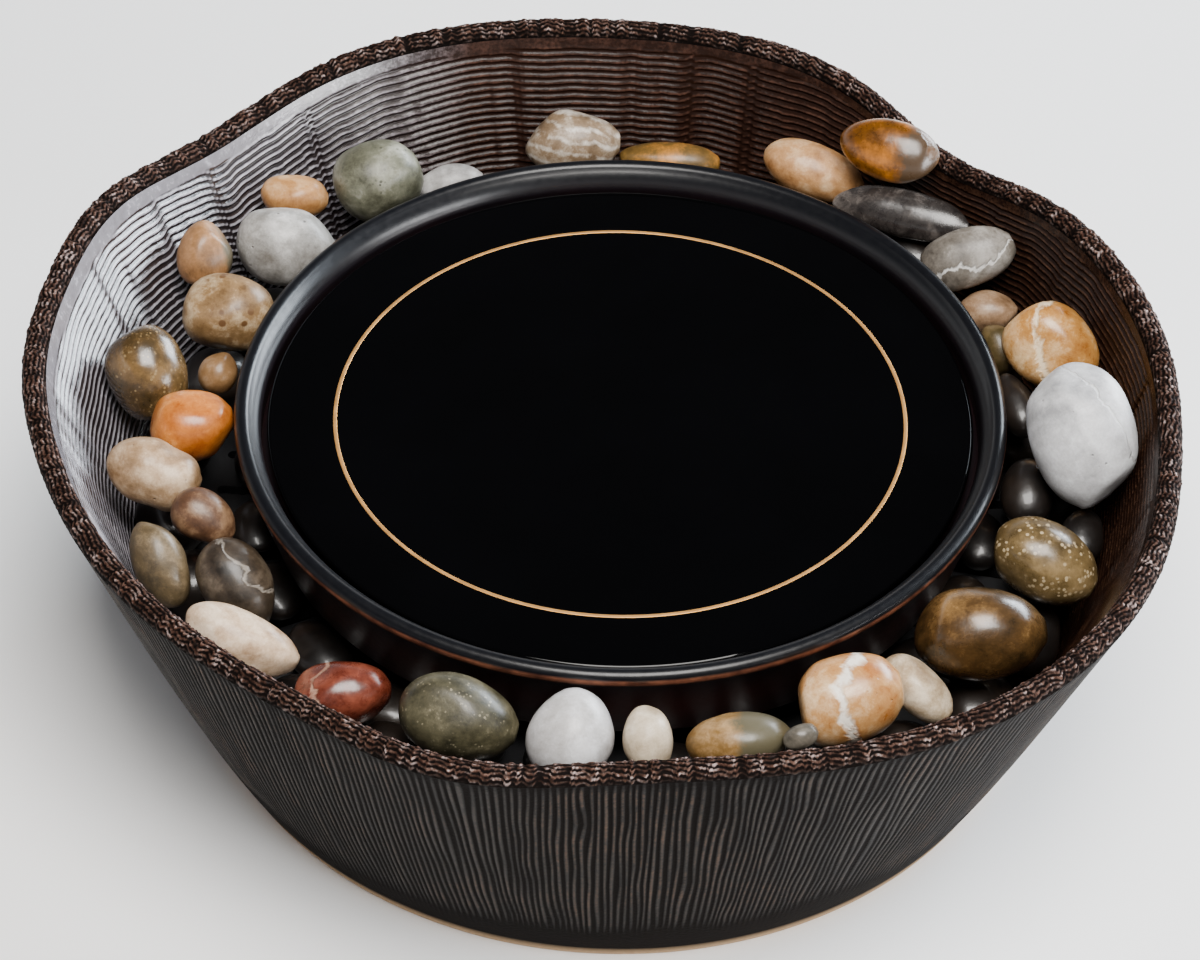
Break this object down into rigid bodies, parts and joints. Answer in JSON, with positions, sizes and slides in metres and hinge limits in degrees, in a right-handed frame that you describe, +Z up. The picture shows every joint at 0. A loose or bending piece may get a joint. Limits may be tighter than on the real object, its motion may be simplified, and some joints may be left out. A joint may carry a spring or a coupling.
{
  "type": "tabletop water fountain",
  "caption": "Tabletop water fountain: wavy ribbed stoneware bowl of river pebbles round a black spill dish with a gold-ringed mirror plate, over a hidden pump.",
  "frame": {"origin": "middle of the foot, on the surface that the bowl stands on; the dish, the stand and the foot ring are round about Z", "axes": "+Z up, -Y towards whoever looks at the fountain's front, +X to their right and along the pump towards its strainer"},
  "size_m": [0.3427, 0.3356, 0.1253],
  "materials": {
    "stoneware_ribbed": "dark glaze broken brown over combed ribs",
    "black_glaze": "gloss black glaze, copper at the lip",
    "mirror_black": "polished black",
    "gold": "satin gold",
    "silicone_clear": "milky silicone",
    "black_plastic": "moulded, fine satin",
    "pump_plastic": "moulded, half gloss",
    "strainer_plastic": "moulded, satin",
    "slider_plastic": "moulded grey",
    "black_rubber": "matt",
    "magnet": "ground ferrite",
    "lamination_steel": "stacked sheet",
    "copper_wire": "enamelled winding",
    "ceramic_white": "ground ceramic",
    "stainless": "screw heads",
    "impeller_plastic": "moulded white",
    "inlet_plastic": "moulded black",
    "pebble_dark": "wet black",
    "stone_streaked_brown": "wet river pebble",
    "stone_olive_orange": "wet river pebble",
    "stone_pale_grey": "wet river pebble",
    "stone_green_grey": "wet river pebble",
    "stone_orange_tan": "wet river pebble",
    "stone_light_grey": "wet river pebble",
    "stone_brown_tan": "wet river pebble",
    "stone_mottled_tan": "wet river pebble",
    "stone_small_tan": "wet river pebble",
    "stone_olive_brown": "wet river pebble",
    "stone_orange": "wet river pebble",
    "stone_beige": "wet river pebble",
    "stone_small_brown": "wet river pebble",
    "stone_olive_grey": "wet river pebble",
    "stone_dark_grey": "wet river pebble",
    "stone_cream_flat": "wet river pebble",
    "stone_red_brown": "wet river pebble",
    "stone_dark_green": "wet river pebble",
    "stone_white_cone": "wet river pebble",
    "stone_cream_cone": "wet river pebble",
    "stone_ochre": "wet river pebble",
    "stone_grey_chip": "wet river pebble",
    "stone_orange_cream": "wet river pebble",
    "stone_cream_tan": "wet river pebble",
    "stone_large_olive": "wet river pebble",
    "stone_speckled": "wet river pebble",
    "stone_large_white": "wet river pebble",
    "stone_marbled": "wet river pebble",
    "stone_olive_sliver": "wet river pebble",
    "stone_pink_tan": "wet river pebble",
    "stone_veined_grey": "wet river pebble",
    "stone_flat_black": "wet river pebble",
    "stone_amber": "wet river pebble",
    "stone_tan_orange": "wet river pebble"
  },
  "bodies": {
    "base": {"bowl": "stoneware_ribbed", "dish_stand": "black_plastic", "pebble_grate": "black_plastic", "riser_hose": "silicone_clear", "pump_housing": "pump_plastic", "stator_core": "lamination_steel", "stator_coil": "copper_wire", "rotor_shaft": "ceramic_white", "shaft_bushes": "black_rubber", "cover_seal": "black_rubber", "volute_cover": "pump_plastic", "cover_screws": "stainless", "suction_cups": "black_rubber", "cable_gland": "black_rubber", "dark_pebbles": "pebble_dark", "pebble_01_streaked_brown": "stone_streaked_brown", "pebble_02_olive_orange": "stone_olive_orange", "pebble_03_pale_grey": "stone_pale_grey", "pebble_04_green_grey": "stone_green_grey", "pebble_05_orange_tan": "stone_orange_tan", "pebble_06_light_grey": "stone_light_grey", "pebble_07_brown_tan": "stone_brown_tan", "pebble_08_mottled_tan": "stone_mottled_tan", "pebble_09_small_tan": "stone_small_tan", "pebble_10_olive_brown": "stone_olive_brown", "pebble_11_orange": "stone_orange", "pebble_12_beige": "stone_beige", "pebble_13_small_brown": "stone_small_brown", "pebble_14_olive_grey": "stone_olive_grey", "pebble_15_dark_grey": "stone_dark_grey", "pebble_16_cream_flat": "stone_cream_flat", "pebble_17_red_brown": "stone_red_brown", "pebble_18_dark_green": "stone_dark_green", "pebble_19_white_cone": "stone_white_cone", "pebble_20_cream_cone": "stone_cream_cone", "pebble_21_ochre": "stone_ochre", "pebble_22_grey_chip": "stone_grey_chip", "pebble_23_orange_cream": "stone_orange_cream", "pebble_24_cream_tan": "stone_cream_tan", "pebble_25_large_olive": "stone_large_olive", "pebble_26_speckled": "stone_speckled", "pebble_27_large_white": "stone_large_white", "pebble_28_marbled": "stone_marbled", "pebble_29_olive_sliver": "stone_olive_sliver", "pebble_30_pink_tan": "stone_pink_tan", "pebble_31_veined_grey": "stone_veined_grey", "pebble_32_flat_black": "stone_flat_black", "pebble_33_amber": "stone_amber", "pebble_34_tan_orange": "stone_tan_orange"},
    "rotor": {"impeller": "impeller_plastic", "rotor_magnet": "magnet"},
    "strainer": {"intake_strainer": "strainer_plastic"},
    "slider": {"flow_slider": "slider_plastic"},
    "dish": {"spill_dish": "black_glaze", "inlet_fitting": "inlet_plastic", "inlet_nut": "inlet_plastic", "inlet_seal": "black_rubber"},
    "plate": {"mirror_plate": "mirror_black", "gold_ring": "gold", "plate_pads": "silicone_clear"}
  },
  "joints": [
    {"name": "rotor_spin", "type": "hinge", "parent": "base", "child": "rotor", "pos_m": [0, 0, 0.03], "axis": [1, 0, 0], "continuous": true},
    {"name": "strainer_pull", "type": "slide", "parent": "base", "child": "strainer", "axis": [1, 0, 0], "range_m": [0, 0.012]},
    {"name": "flow_slide", "type": "slide", "parent": "strainer", "child": "slider", "axis": [0, 1, 0], "range_m": [-0.008, 0.008]},
    {"name": "dish_lift", "type": "slide", "parent": "base", "child": "dish", "axis": [0, 0, 1], "range_m": [0, 0.06]},
    {"name": "plate_lift", "type": "slide", "parent": "dish", "child": "plate", "axis": [0, 0, 1], "range_m": [0, 0.03]}
  ]
}
